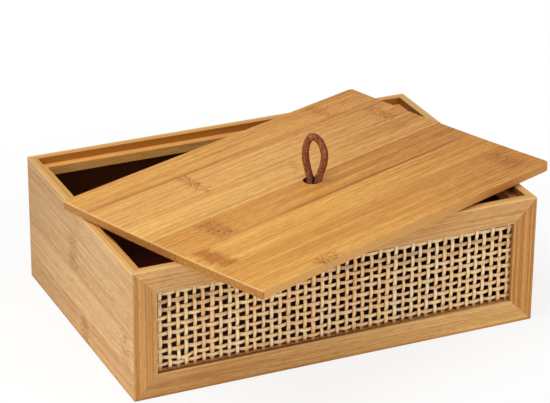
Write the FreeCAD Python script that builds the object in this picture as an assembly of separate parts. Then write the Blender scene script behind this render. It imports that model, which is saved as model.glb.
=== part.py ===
import FreeCAD
import Part
import math
import os

# A low bamboo keepsake box. Its front is a mitred frame round a panel of cane webbing, and its loose
# lid lies askew on the rim, with a leather pull. Millimetres, +Z up, +X to the right along the front,
# which faces -Y. The origin is the middle of the base.

Vector = FreeCAD.Vector
UP = Vector(0, 0, 1)
ALONG_X = Vector(1, 0, 0)
ALONG_Y = Vector(0, 1, 0)

# Box
box_width = 270.0
box_depth = 185.0
box_height = 85.0
wall_thickness = 5.5
outer_arris = 0.8
rim_arris = 0.6

# Front frame: a lip stands in front of the webbing, and a rebate behind the lip holds it
frame_width = 15.5
frame_thickness = 6.5
lip_thickness = 3.0
lip_arris = 0.5
rebate_width = 4.0

# Cane webbing, with fewer and wider meshes than the real weave
cane_thickness = 1.2
cane_edge_gap = 0.5
cane_strand_width = 3.1
cane_columns = 36
cane_rows = 8

# Pins that hold the beads behind the webbing
bead_pin_diameter = 0.8
bead_pin_bite_share = 0.8
long_bead_pin_shares = (-0.33, 0, 0.33)
short_bead_pin_shares = (-0.25, 0.25)

# Bottom panel, let into a rebate round the foot of the walls
bottom_thickness = 4.0
bottom_rebate_width = 3.0
bottom_pin_diameter = 1.0
bottom_pin_bite_share = 0.7
long_bottom_pin_shares = (-0.4, -0.14, 0.14, 0.4)
short_bottom_pin_shares = (-0.36, 0, 0.36)

# Battens inside the walls that the closed lid lies on
rest_width = 5.0
rest_height = 6.0
rest_arris = 0.5

# Lid, and where it lies on the rim
lid_thickness = 6.0
lid_side_gap = 0.5
lid_stand = 1.0
lid_cup = 1.2
lid_left_corner_radius = 1.0
lid_right_corner_radius = 3.5
lid_arris = 0.7
lid_shift_x = 9.5
lid_shift_y = -28.3
lid_turn = 21.2

# Leather pull: a cord looped up through the lid and knotted under it
cord_diameter = 4.6
leg_gap = 0.3
leg_shift = 0.4
pull_hole_gap = 1.0
pull_along = 2.8
pull_across = 1.6
leg_spread = (cord_diameter + leg_gap) / 2
left_leg = leg_shift - leg_spread
right_leg = leg_shift + leg_spread
loop_turn = -40.0
loop_route = (
    (left_leg, 0.6), (-4.0, 9.0), (-5.1, 17.4), (-5.2, 24.5), (-2.2, 29.5),
    (3.2, 29.5), (6.4, 24.5), (7.7, 17.0), (5.8, 8.0), (right_leg, 0.6),
)
bend_reach_share = 0.45
knot_seat_width = 1.25
knot_bulge = 1.25
knot_height = 10.5
knot_gap = 0.3
tail_length = 12.0
tail_splay = 16.0
tail_root_share = 0.75

# Places that the sizes above give
left = -box_width / 2
right = box_width / 2
front = -box_depth / 2
back = box_depth / 2
inner_left = left + wall_thickness
inner_right = right - wall_thickness
inner_front = front + frame_thickness
inner_back = back - wall_thickness
lip_back = front + lip_thickness
cane_back = lip_back + cane_thickness
opening_left = left + frame_width
opening_right = right - frame_width
opening_bottom = frame_width
opening_top = box_height - frame_width
rebate_left = opening_left - rebate_width
rebate_right = opening_right + rebate_width
rebate_bottom = opening_bottom - rebate_width
rebate_top = opening_top + rebate_width
rest_top = box_height + lid_stand - lid_thickness
rest_bottom = rest_top - rest_height
lid_width = inner_right - inner_left - 2 * lid_side_gap
lid_depth = inner_back - inner_front - 2 * lid_side_gap
lid_top = box_height + lid_thickness
pull_hole_radius = leg_spread + cord_diameter / 2 + pull_hole_gap
knot_seat_radius = pull_hole_radius + knot_seat_width
knot_radius = knot_seat_radius + knot_bulge
knot_top = box_height - knot_gap
knot_bottom = knot_top - knot_height
lid_angle = math.radians(lid_turn)
pull_x = lid_shift_x + pull_along * math.cos(lid_angle) - pull_across * math.sin(lid_angle)
pull_y = lid_shift_y + pull_along * math.sin(lid_angle) + pull_across * math.cos(lid_angle)


def rounded_edges(points, radii, closed):
    """Straight runs between the points, with each corner rounded by a tangent arc of its own radius."""
    count = len(points)
    arrivals = []
    departures = []
    arcs = []
    for i, point in enumerate(points):
        is_end = not closed and i in (0, count - 1)
        if is_end or radii[i] == 0:
            arrivals.append(point)
            departures.append(point)
            arcs.append(None)
            continue
        to_last = (points[i - 1] - point).normalize()
        to_next = (points[(i + 1) % count] - point).normalize()
        half_angle = to_last.getAngle(to_next) / 2
        reach = radii[i] / math.tan(half_angle)
        inward = (to_last + to_next).normalize()
        middle = point + inward * (radii[i] / math.sin(half_angle) - radii[i])
        arrivals.append(point + to_last * reach)
        departures.append(point + to_next * reach)
        arcs.append(Part.Arc(arrivals[i], middle, departures[i]).toShape())
    edges = []
    for i in range(count):
        if arcs[i]:
            edges.append(arcs[i])
        if closed or i < count - 1:
            edges.append(Part.LineSegment(departures[i], arrivals[(i + 1) % count]).toShape())
    return edges


def prism(points, sweep, radii=None):
    """A closed outline, with any rounded corners, drawn out along the sweep."""
    wire = Part.Wire(rounded_edges(points, radii or [0] * len(points), True))
    return Part.Face(wire).extrude(sweep)


def block(x0, x1, y0, y1, z0, z1):
    return Part.makeBox(x1 - x0, y1 - y0, z1 - z0, Vector(x0, y0, z0))


def mirrored(shape):
    return shape.mirror(Vector(0, 0, 0), ALONG_X)


def plan_wedge(corners):
    """The full-height space of one wall between the mitres of the box's corners."""
    return prism([Vector(x, y, 0) for x, y in corners], UP * box_height)


def frame_wedge(corners, depth_from, depth_to):
    """The space of one strip of the frame between its mitres, as seen from the front."""
    points = [Vector(x, depth_from, z) for x, z in corners]
    return prism(points, ALONG_Y * (depth_to - depth_from))


def eased_box():
    """The whole outside of the box with its arrises taken off."""
    blank = block(left, right, front, back, 0, box_height)
    return blank.makeFillet(outer_arris, blank.Edges)


def bottom_blank():
    """The bottom panel before it is drilled, which is also the rebate cut for it."""
    return block(
        inner_left - bottom_rebate_width, inner_right + bottom_rebate_width,
        inner_front - bottom_rebate_width, inner_back + bottom_rebate_width, 0, bottom_thickness)


def bead_pins():
    """Headless pins driven outwards through each bead into the edge of the frame."""
    bite = (frame_width - rebate_width - wall_thickness) * bead_pin_bite_share
    length = rebate_width + bite
    depth = (cane_back + inner_front) / 2
    radius = bead_pin_diameter / 2
    middle_z = (opening_bottom + opening_top) / 2
    pins = []
    for share in long_bead_pin_shares:
        x = share * (opening_right - opening_left)
        pins.append(Part.makeCylinder(radius, length, Vector(x, depth, opening_top), UP))
        pins.append(Part.makeCylinder(radius, length, Vector(x, depth, opening_bottom), -UP))
    for share in short_bead_pin_shares:
        z = middle_z + share * (opening_top - opening_bottom)
        pins.append(Part.makeCylinder(radius, length, Vector(opening_right, depth, z), ALONG_X))
        pins.append(Part.makeCylinder(radius, length, Vector(opening_left, depth, z), -ALONG_X))
    return Part.makeCompound(pins)


def bottom_pins():
    """Pins driven up through the bottom panel into the walls."""
    bite = (rebate_bottom - bottom_thickness) * bottom_pin_bite_share
    length = bottom_thickness + bite
    inset = bottom_rebate_width / 2
    spots = []
    for share in long_bottom_pin_shares:
        spots += [(share * box_width, inner_front - inset), (share * box_width, inner_back + inset)]
    for share in short_bottom_pin_shares:
        spots += [(inner_left - inset, share * box_depth), (inner_right + inset, share * box_depth)]
    radius = bottom_pin_diameter / 2
    return Part.makeCompound([Part.makeCylinder(radius, length, Vector(x, y, 0), UP) for x, y in spots])


def left_wall():
    section = [Vector(left, front, 0), Vector(inner_left, front, 0),
               Vector(inner_left, front, box_height), Vector(left, front, box_height)]
    board = prism(section, ALONG_Y * box_depth, [0, 0, rim_arris, 0])
    mitres = [(left, front), (inner_left, inner_front), (inner_left, inner_back), (left, back)]
    return board.common(plan_wedge(mitres))


def back_wall():
    section = [Vector(left, back, 0), Vector(left, inner_back, 0),
               Vector(left, inner_back, box_height), Vector(left, back, box_height)]
    board = prism(section, ALONG_X * box_width, [0, 0, rim_arris, 0])
    mitres = [(left, back), (inner_left, inner_back), (inner_right, inner_back), (right, back)]
    return board.common(plan_wedge(mitres))


def front_plan():
    return plan_wedge([(left, front), (inner_left, inner_front), (inner_right, inner_front), (right, front)])


def front_top_rail():
    section = [Vector(left, front, box_height), Vector(left, front, opening_top),
               Vector(left, lip_back, opening_top), Vector(left, lip_back, rebate_top),
               Vector(left, inner_front, rebate_top), Vector(left, inner_front, box_height)]
    strip = prism(section, ALONG_X * box_width, [0, lip_arris, 0, 0, 0, rim_arris])
    mitres = [(left, box_height), (opening_left, opening_top),
              (opening_right, opening_top), (right, box_height)]
    return strip.common(frame_wedge(mitres, front, inner_front)).common(front_plan())


def front_bottom_rail():
    section = [Vector(left, front, 0), Vector(left, front, opening_bottom),
               Vector(left, lip_back, opening_bottom), Vector(left, lip_back, rebate_bottom),
               Vector(left, inner_front, rebate_bottom), Vector(left, inner_front, 0)]
    strip = prism(section, ALONG_X * box_width, [0, lip_arris, 0, 0, 0, 0])
    mitres = [(left, 0), (opening_left, opening_bottom), (opening_right, opening_bottom), (right, 0)]
    return strip.common(frame_wedge(mitres, front, inner_front)).common(front_plan())


def front_left_stile():
    section = [Vector(left, front, 0), Vector(opening_left, front, 0),
               Vector(opening_left, lip_back, 0), Vector(rebate_left, lip_back, 0),
               Vector(rebate_left, inner_front, 0), Vector(inner_left, inner_front, 0)]
    strip = prism(section, UP * box_height, [0, lip_arris, 0, 0, 0, 0])
    mitres = [(left, 0), (opening_left, opening_bottom), (opening_left, opening_top), (left, box_height)]
    return strip.common(frame_wedge(mitres, front, inner_front))


def cane_webbing():
    """One sheet with a mesh opening between each pair of strands in both directions."""
    def rectangle(x0, x1, z0, z1):
        corners = [(x0, z0), (x1, z0), (x1, z1), (x0, z1), (x0, z0)]
        return Part.makePolygon([Vector(x, lip_back, z) for x, z in corners])

    column_pitch = (opening_right - opening_left) / cane_columns
    row_pitch = (opening_top - opening_bottom) / cane_rows
    half_strand = cane_strand_width / 2
    wires = [rectangle(rebate_left + cane_edge_gap, rebate_right - cane_edge_gap,
                       rebate_bottom + cane_edge_gap, rebate_top - cane_edge_gap)]
    for column in range(cane_columns):
        x = opening_left + column * column_pitch
        for row in range(cane_rows):
            z = opening_bottom + row * row_pitch
            wires.append(rectangle(x + half_strand, x + column_pitch - half_strand,
                                   z + half_strand, z + row_pitch - half_strand))
    return Part.makeFace(wires, "Part::FaceMakerBullseye").extrude(ALONG_Y * cane_thickness)


def cane_bead(corners):
    return frame_wedge(corners, cane_back, inner_front)


def lid_rest(wall_foot, inwards, sweep):
    """A batten glued to a wall from the foot of its seat; its upper edge away from the wall is eased."""
    rise = UP * rest_height
    section = [wall_foot, wall_foot + inwards, wall_foot + inwards + rise, wall_foot + rise]
    return prism(section, sweep, [0, 0, rest_arris, 0])


def lid_rests():
    """The front and back battens run from wall to wall, and the side ones fit between them."""
    along = ALONG_X * (inner_right - inner_left)
    between = ALONG_Y * (inner_back - inner_front - 2 * rest_width)
    side_start = inner_front + rest_width
    side_rest = lid_rest(Vector(inner_left, side_start, rest_bottom), ALONG_X * rest_width, between)
    return {
        "lid_rest_front": lid_rest(Vector(inner_left, inner_front, rest_bottom), ALONG_Y * rest_width, along),
        "lid_rest_back": lid_rest(Vector(inner_left, inner_back, rest_bottom), ALONG_Y * -rest_width, along),
        "lid_rest_left": side_rest,
        "lid_rest_right": mirrored(side_rest),
    }


def turned_to(shape, turn, x, y):
    """Turns a shape about the upright axis at the origin, and moves it from there to its place."""
    shape.rotate(Vector(0, 0, 0), UP, turn)
    shape.translate(Vector(x, y, 0))
    return shape


def cupped_sheet():
    """A sheet a little wider than the lid, bent so that the lid's long sides stand above its middle by the cup."""
    reach = lid_depth / 2
    bend_radius = (reach ** 2 + lid_cup ** 2) / (2 * lid_cup)
    side = reach + lid_arris
    rise = bend_radius - math.sqrt(bend_radius ** 2 - side ** 2)
    end = -lid_width / 2 - lid_arris
    low = [Vector(end, -side, box_height + rise), Vector(end, 0, box_height), Vector(end, side, box_height + rise)]
    high = [point + UP * lid_thickness for point in low]
    outline = [Part.Arc(*low).toShape(), Part.makeLine(low[2], high[2]),
               Part.Arc(*reversed(high)).toShape(), Part.makeLine(high[0], low[0])]
    return Part.Face(Part.Wire(outline)).extrude(ALONG_X * (lid_width + 2 * lid_arris))


def lid_panel():
    x = lid_width / 2
    y = lid_depth / 2
    foot = box_height - lid_thickness
    corners = [Vector(-x, -y, foot), Vector(x, -y, foot), Vector(x, y, foot), Vector(-x, y, foot)]
    radii = [lid_left_corner_radius, lid_right_corner_radius, lid_right_corner_radius, lid_left_corner_radius]
    height = 3 * lid_thickness
    board = cupped_sheet().common(prism(corners, UP * height, radii))
    arrises = [edge for edge in board.Edges if edge.BoundBox.ZLength < lid_thickness / 2]
    hole = Part.makeCylinder(pull_hole_radius, height, Vector(pull_along, pull_across, foot), UP)
    board = board.makeFillet(lid_arris, arrises).cut(hole)
    return turned_to(board, lid_turn, lid_shift_x, lid_shift_y)


def pull_loop():
    """A round cord along straight runs and tangent arcs, from the knot up, round and down to it again."""
    feet = [Vector(left_leg, 0, knot_top), Vector(right_leg, 0, knot_top)]
    bends = [Vector(u, 0, lid_top + rise) for u, rise in loop_route]
    points = [feet[0], *bends, feet[1]]
    radii = [0] * len(points)
    for i in range(1, len(points) - 1):
        before = points[i] - points[i - 1]
        after = points[i + 1] - points[i]
        shorter = min(before.Length, after.Length)
        radii[i] = bend_reach_share * shorter / math.tan(before.getAngle(after) / 2)
    path = Part.Wire(rounded_edges(points, radii, False))
    ring = Part.Wire(Part.makeCircle(cord_diameter / 2, feet[0], UP))
    tube = path.makePipeShell([ring], True, False)
    print("pull bend radii", [round(radius, 1) for radius in radii[1:-1]])
    print("pull length", round(path.Length, 1), "tube volume over section times length",
          round(tube.Volume / (math.pi * cord_diameter ** 2 / 4 * path.Length), 4))
    return turned_to(tube, loop_turn, pull_x, pull_y)


def pull_knot():
    """A lump wider than the hole, flat on top, with the cord's two cut tails below it."""
    upper_rim = Vector(knot_seat_radius, 0, knot_top)
    bulge = Vector(knot_radius, 0, (knot_top + knot_bottom) / 2)
    lower_rim = Vector(knot_seat_radius, 0, knot_bottom)
    upper_middle = Vector(0, 0, knot_top)
    lower_middle = Vector(0, 0, knot_bottom)
    outline = [Part.makeLine(upper_middle, upper_rim), Part.Arc(upper_rim, bulge, lower_rim).toShape(),
               Part.makeLine(lower_rim, lower_middle), Part.makeLine(lower_middle, upper_middle)]
    knot = Part.Face(Part.Wire(outline)).revolve(Vector(0, 0, 0), UP, 360)
    for side_sign, leg in ((-1, left_leg), (1, right_leg)):
        lean = math.radians(tail_splay) * side_sign
        root = Vector(leg, 0, knot_bottom + knot_height * (1 - tail_root_share))
        heading = Vector(math.sin(lean), 0, -math.cos(lean))
        knot = knot.fuse(Part.makeCylinder(cord_diameter / 2, tail_length, root, heading))
    return turned_to(knot.removeSplitter(), loop_turn, pull_x, pull_y)


def build():
    outside = eased_box()
    panel = bottom_blank()
    tacks = bead_pins()
    nails = bottom_pins()
    boards = {
        "left_wall": left_wall(),
        "right_wall": mirrored(left_wall()),
        "back_wall": back_wall(),
        "front_top_rail": front_top_rail(),
        "front_bottom_rail": front_bottom_rail(),
        "front_left_stile": front_left_stile(),
        "front_right_stile": mirrored(front_left_stile()),
    }
    nodes = {name: board.common(outside).cut(panel).cut(nails).cut(tacks) for name, board in boards.items()}
    top_bead = cane_bead([(rebate_left, rebate_top), (opening_left, opening_top),
                          (opening_right, opening_top), (rebate_right, rebate_top)])
    bottom_bead = cane_bead([(rebate_left, rebate_bottom), (opening_left, opening_bottom),
                             (opening_right, opening_bottom), (rebate_right, rebate_bottom)])
    left_bead = cane_bead([(rebate_left, rebate_bottom), (opening_left, opening_bottom),
                           (opening_left, opening_top), (rebate_left, rebate_top)]).cut(tacks)
    nodes.update({
        "bottom_panel": panel.cut(nails),
        "bottom_pins": nails,
        "cane_webbing": cane_webbing(),
        "cane_bead_top": top_bead.cut(tacks),
        "cane_bead_bottom": bottom_bead.cut(tacks),
        "cane_bead_left": left_bead,
        "cane_bead_right": mirrored(left_bead),
        "bead_pins": tacks,
        "lid_panel": lid_panel(),
        "pull_loop": pull_loop(),
        "pull_knot": pull_knot(),
    })
    nodes.update(lid_rests())
    return nodes


os.makedirs("parts", exist_ok=True)
for node_name, node_shape in build().items():
    node_shape.exportStep(f"parts/{node_name}.step")
    print(node_name, len(node_shape.Solids), "solids", round(node_shape.Volume, 1), node_shape.isValid())
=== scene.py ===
import bpy
import math
import numpy as np
from mathutils import Matrix


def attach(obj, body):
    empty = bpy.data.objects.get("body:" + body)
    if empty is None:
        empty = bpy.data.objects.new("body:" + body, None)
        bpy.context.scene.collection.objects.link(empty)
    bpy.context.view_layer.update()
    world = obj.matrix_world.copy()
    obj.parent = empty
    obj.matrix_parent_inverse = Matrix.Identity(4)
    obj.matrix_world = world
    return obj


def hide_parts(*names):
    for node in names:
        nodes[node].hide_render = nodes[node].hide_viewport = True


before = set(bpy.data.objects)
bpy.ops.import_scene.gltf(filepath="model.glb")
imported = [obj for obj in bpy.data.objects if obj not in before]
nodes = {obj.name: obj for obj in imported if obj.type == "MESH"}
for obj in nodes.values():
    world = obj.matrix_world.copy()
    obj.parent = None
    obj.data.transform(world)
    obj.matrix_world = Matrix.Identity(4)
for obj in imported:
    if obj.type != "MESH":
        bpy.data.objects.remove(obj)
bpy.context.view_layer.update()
scene = bpy.context.scene

MM = 0.001
IMAGE_WIDTH = 550
SENSOR_WIDTH = 36.0

# The lid lies askew: its middle under its lower face and its turn, then the pull's axis and its loop's turn
LID_PLACE = (0.0095, -0.0283, 0.085)
LID_TURN = 21.2
PULL_PLACE = (0.01153, -0.0258)
LOOP_TURN = -40.0


def linear(code):
    """An sRGB hex code as linear red, green, blue and a full alpha."""
    parts = np.array([int(code[i:i + 2], 16) for i in (1, 3, 5)]) / 255
    low = parts / 12.92
    high = ((parts + 0.055) / 1.055) ** 2.4
    return (*np.where(parts <= 0.04045, low, high).tolist(), 1.0)


def add(tree, kind, inputs=(), output=0, stops=(), **settings):
    """Adds a node with its settings, ramp stops and inputs, each linked or set, and gives one output."""
    node = tree.nodes.new("ShaderNode" + kind)
    for name, value in settings.items():
        setattr(node, name, value)
    for i, (position, colour) in enumerate(stops):
        element = node.color_ramp.elements[i] if i < 2 else node.color_ramp.elements.new(position)
        element.position = position
        element.color = colour
    for key, value in dict(inputs).items():
        if isinstance(value, bpy.types.NodeSocket):
            tree.links.new(value, node.inputs[key])
        else:
            node.inputs[key].default_value = value
    return node.outputs[output] if node.outputs else node


def new_material(name):
    """An empty node material and its tree."""
    material = bpy.data.materials.new(name)
    material.use_nodes = True
    material.node_tree.nodes.clear()
    return material, material.node_tree


def skin_faces(rows, columns):
    """Quads of a grid of rows by columns whose columns join into a ring."""
    row = np.arange(rows - 1)[:, None] * columns
    column = np.arange(columns)[None, :]
    after = (column + 1) % columns
    quads = [row + column, row + after, row + columns + after, row + columns + column]
    return np.stack(np.broadcast_arrays(*quads), -1).reshape(-1, 4)


def mesh_piece(name, points, faces, uv=None, values=None):
    """A smooth mesh object at the origin from points, arrays of faces, a uv and named values by point."""
    mesh = bpy.data.meshes.new(name)
    mesh.from_pydata(points.tolist(), [], [corner for group in faces for corner in group.tolist()])
    mesh.shade_smooth()
    if uv is not None:
        corners = np.zeros(len(mesh.loops), np.int32)
        mesh.loops.foreach_get("vertex_index", corners)
        mesh.uv_layers.new(name="run").data.foreach_set("uv", uv[corners].astype(np.float32).ravel())
    for label, value in (values or {}).items():
        mesh.attributes.new(label, "FLOAT", "POINT").data.foreach_set("value", value.astype(np.float32))
    piece = bpy.data.objects.new(name, mesh)
    scene.collection.objects.link(piece)
    return piece


# Camera: a pinhole fitted to the box's edges, about 165 mm on a 36 mm sensor, with no shift

CAMERA_PLACE = (-0.603566, -1.322144, 0.739324)
CAMERA_YAW = math.radians(24.4618)
CAMERA_PITCH = math.radians(24.8047)
CAMERA_ROLL = math.radians(0.4404)
FOCAL_PIXELS = 2526.24


def make_camera():
    """Forward from yaw and pitch, right level, up across both, then right and up turned by the roll."""
    forward = np.array([
        math.sin(CAMERA_YAW) * math.cos(CAMERA_PITCH),
        math.cos(CAMERA_YAW) * math.cos(CAMERA_PITCH),
        -math.sin(CAMERA_PITCH),
    ])
    level = np.array([math.cos(CAMERA_YAW), -math.sin(CAMERA_YAW), 0.0])
    upright = np.cross(level, forward)
    right = math.cos(CAMERA_ROLL) * level + math.sin(CAMERA_ROLL) * upright
    up = math.cos(CAMERA_ROLL) * upright - math.sin(CAMERA_ROLL) * level
    turned = np.eye(4)
    turned[:3] = np.column_stack([right, up, -forward, CAMERA_PLACE])
    data = bpy.data.cameras.new("camera")
    data.sensor_fit = "HORIZONTAL"
    data.sensor_width = SENSOR_WIDTH
    data.lens = FOCAL_PIXELS * SENSOR_WIDTH / IMAGE_WIDTH
    data.clip_start = 0.05
    camera = bpy.data.objects.new("camera", data)
    camera.matrix_world = Matrix(turned.tolist())
    scene.collection.objects.link(camera)
    scene.camera = camera


make_camera()

# Leather pull: one round cord, looped up through the lid's hole and knotted under the lid

CORD_DIAMETER = 0.0046
CORD_SIDES = 20
# The route's points as (across, out, up) in the loop's own plane, out being away from the front
LOOP_ROUTE = (
    (-0.0014, 0.0010, 0.0847), (-0.0014, 0.0009, 0.0918), (-0.0037, 0.0004, 0.1002), (-0.0049, 0.0, 0.1086),
    (-0.0041, 0.0, 0.1153), (-0.0014, 0.0, 0.1206), (0.0026, 0.0, 0.1204), (0.0061, 0.0, 0.1160),
    (0.0082, 0.0, 0.1082), (0.0063, 0.0, 0.0992), (0.0034, 0.0, 0.0918), (0.0034, 0.0, 0.0847),
)


def in_loop_plane(points):
    """Points of (across, out of the plane, up) turned about the upright axis of the lid's hole."""
    turn = math.radians(LOOP_TURN)
    x = PULL_PLACE[0] + math.cos(turn) * points[:, 0] - math.sin(turn) * points[:, 1]
    y = PULL_PLACE[1] + math.sin(turn) * points[:, 0] + math.cos(turn) * points[:, 1]
    return np.stack([x, y, points[:, 2]], -1)


def spline_points(name, route):
    """Points along a NURBS spline of order 3 with the route as its control points."""
    curve = bpy.data.curves.new(name, "CURVE")
    curve.dimensions = "3D"
    spline = curve.splines.new("NURBS")
    spline.points.add(len(route) - 1)
    weighted = np.column_stack([route, np.ones(len(route))])
    spline.points.foreach_set("co", weighted.astype(np.float32).ravel())
    spline.order_u = 3
    spline.use_endpoint_u = True
    spline.resolution_u = 12
    holder = bpy.data.objects.new(name, curve)
    scene.collection.objects.link(holder)
    line = bpy.data.meshes.new_from_object(holder)
    points = np.zeros(len(line.vertices) * 3)
    line.vertices.foreach_get("co", points)
    bpy.data.objects.remove(holder)
    bpy.data.curves.remove(curve)
    bpy.data.meshes.remove(line)
    return points.reshape(-1, 3)


def cord_skin(path, radius, upward):
    """A ring of the radius square to the path at each of its points, closed at both ends by a fan.

    The ring's first arm points across both the upward vector and the path, and its second arm across
    the path and the first. The side value is the squared share of the first arm, 1 at the cord's sides."""
    tangent = np.gradient(path, axis=0)
    tangent /= np.linalg.norm(tangent, axis=1)[:, None]
    side = np.cross(upward, tangent)
    side /= np.linalg.norm(side, axis=1)[:, None]
    rise = np.cross(tangent, side)
    angle = np.linspace(0, 2 * math.pi, CORD_SIDES, endpoint=False)
    ring = np.cos(angle)[None, :, None] * side[:, None] + np.sin(angle)[None, :, None] * rise[:, None]
    skin = path[:, None] + ring * np.broadcast_to(radius, (len(path),))[:, None, None]
    count = len(path) * CORD_SIDES
    points = np.concatenate([skin.reshape(-1, 3), path[[0, -1]]])
    sides = np.concatenate([np.tile(np.cos(angle) ** 2, len(path)), [0.5, 0.5]])
    first = np.arange(CORD_SIDES)
    after = (first + 1) % CORD_SIDES
    last = count - CORD_SIDES
    start_fan = np.stack([np.full(CORD_SIDES, count), after, first], -1)
    end_fan = np.stack([np.full(CORD_SIDES, count + 1), last + first, last + after], -1)
    return points, skin_faces(len(path), CORD_SIDES), np.concatenate([start_fan, end_fan]), sides


def make_pull_loop():
    """The cord's skin along the spline of the route, a little uneven in thickness along its run."""
    path = spline_points("pull_route", in_loop_plane(np.array(LOOP_ROUTE)))
    turn = math.radians(LOOP_TURN)
    out_of_plane = np.array([-math.sin(turn), math.cos(turn), 0.0])
    share = np.linspace(0, 1, len(path))
    radius = CORD_DIAMETER / 2 * (1 - 0.02 * np.sin(23 * share) - 0.015 * np.sin(51 * share + 1))
    points, quads, fans, sides = cord_skin(path, radius, out_of_plane)
    return mesh_piece("leather_loop", points, [quads, fans], values={"side": sides}), path


leather_loop, loop_path = make_pull_loop()
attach(leather_loop, "pull")
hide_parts("pull_loop")

# The knot: the right leg winds once round both legs before it hangs down, the left leg hangs straight.
# Points as (across, out, up) in the loop's own frame, then a vector for each leg that it never runs along.
COIL_TURNS = 1.12
COIL_RADIUS = 0.0059
COIL_TOP = 0.0821
COIL_BOTTOM = 0.0768
LEFT_TAIL = (
    (-0.0014, 0.0010, 0.0847), (-0.0014, 0.0008, 0.0800), (-0.0018, 0.0, 0.0765), (-0.0030, -0.0006, 0.0715),
    (-0.0050, -0.0016, 0.0669))
RIGHT_TAIL = ((0.0016, 0.0029, 0.0746), (0.0022, 0.0031, 0.0712), (0.0038, 0.0036, 0.0671))
LEG_LEANS = ((-0.06, 0.70, 0.71), (0.4, 0.9, 0.0))


def make_pull_knot():
    """The cord's skin along two splines: one leg winds round the hole's axis, the other hangs straight.

    The winding is a helix whose reach grows from the leg's place at its start and shrinks at its end."""
    share = np.linspace(0, 1, 18)
    angle = 2 * math.pi * COIL_TURNS * share
    reach = COIL_RADIUS * np.clip(np.minimum(0.45 + 5 * share, 0.55 + 2.5 * (1 - share)), 0, 1)
    height = COIL_TOP + (COIL_BOTTOM - COIL_TOP) * share
    coil = np.stack([reach * np.cos(angle), reach * np.sin(angle), height], -1)
    winding = np.concatenate([[(0.0034, 0.0, 0.0847), (0.0033, 0.0, 0.0836)], coil, RIGHT_TAIL])
    runs = [spline_points("knot_route", in_loop_plane(points)) for points in (winding, np.array(LEFT_TAIL))]
    skins = [cord_skin(run, CORD_DIAMETER / 2, np.array(lean)) for run, lean in zip(runs, LEG_LEANS)]
    starts = np.cumsum([0] + [len(skin[0]) for skin in skins])
    points = np.concatenate([skin[0] for skin in skins])
    quads = np.concatenate([skin[1] + start for skin, start in zip(skins, starts)])
    fans = np.concatenate([skin[2] + start for skin, start in zip(skins, starts)])
    sides = np.concatenate([skin[3] for skin in skins])
    return mesh_piece("leather_knot", points, [quads, fans], values={"side": sides})


leather_knot = make_pull_knot()
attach(leather_knot, "pull")
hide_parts("pull_knot")

# Cane webbing: plain weave of split cane, uprights and rows, in the groove behind the frame, in millimetres

CANE_MIDDLE = -88.9
CANE_THICKNESS = 0.48
CANE_HALF_WIDTH = 1.17
# The weave's wave, in the groove and in the open where the strands have room
GROOVE_WAVE = 0.31
OPEN_WAVE = 0.37
CANE_LOW = 12.1
CANE_HIGH = 72.9
CANE_REACH = 122.8
CANE_SIDES = 12
UPRIGHT_SAMPLES = 112
ROW_SAMPLES = 440
OPENING_HALF_WIDTH = 119.5
OPENING_HALF_HEIGHT = 27.0
OPENING_MIDDLE = 42.5
# How far from the frame's lip the weave has its full wave
LIP_REACH = 4.0
UPRIGHT_FIRST = -116.5
UPRIGHT_PITCH = 5.565
UPRIGHT_COUNT = 43
ROW_FIRST = 66.0
ROW_PITCH = 5.25
ROW_NUMBERS = np.arange(-1, 11)
# Rows that wander out of line, as (row, at x, by, over a half length of)
ROW_SAGS = (
    (0, 0.0, 0.55, 400.0), (8, -102.5, -2.1, 5.0), (9, -101.0, -0.6, 7.0), (8, -20.0, -0.8, 9.0),
    (7, -34.0, 0.6, 6.0), (9, 0.0, 0.65, 400.0), (9, -97.0, 0.75, 40.0), (9, -20.0, -0.35, 25.0),
    (8, 0.0, 0.35, 400.0), (8, 105.0, 0.6, 30.0), (7, -90.0, -0.7, 45.0), (5, -80.0, 0.5, 45.0),
    (5, 100.0, 0.5, 25.0), (3, -97.0, 0.6, 25.0), (2, -75.0, 0.8, 45.0), (1, -97.0, 0.6, 25.0),
)


def woven(position):
    """The wave of a strand over and under: a cosine of two crossings to the wave, with flattened tops."""
    return np.tanh(1.3 * np.cos(math.pi * position)) / math.tanh(1.3)


def drift(random, strands, samples, length, reach):
    """Slow sideways wander of each strand: three sines of random phase, 90 to 22 mm long."""
    along = np.linspace(0, length, samples)[None, :]
    total = np.zeros((strands, samples))
    for wave_length, share in ((90.0, 0.5), (46.0, 0.3), (22.0, 0.2)):
        phase = random.uniform(0, 2 * math.pi, (strands, 1))
        size = random.normal(0, 1, (strands, 1))
        total += share * size * np.sin(2 * math.pi * along / wave_length + phase)
    return reach * total


def wave_size(x, z):
    """The wave's size: full in the open, less near the frame's lip and in the groove behind it."""
    clear_x = (OPENING_HALF_WIDTH - np.abs(x)) / LIP_REACH
    clear_z = (OPENING_HALF_HEIGHT - np.abs(z - OPENING_MIDDLE)) / LIP_REACH
    return GROOVE_WAVE + (OPEN_WAVE - GROOVE_WAVE) * np.clip(np.minimum(clear_x, clear_z), 0, 1)


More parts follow.
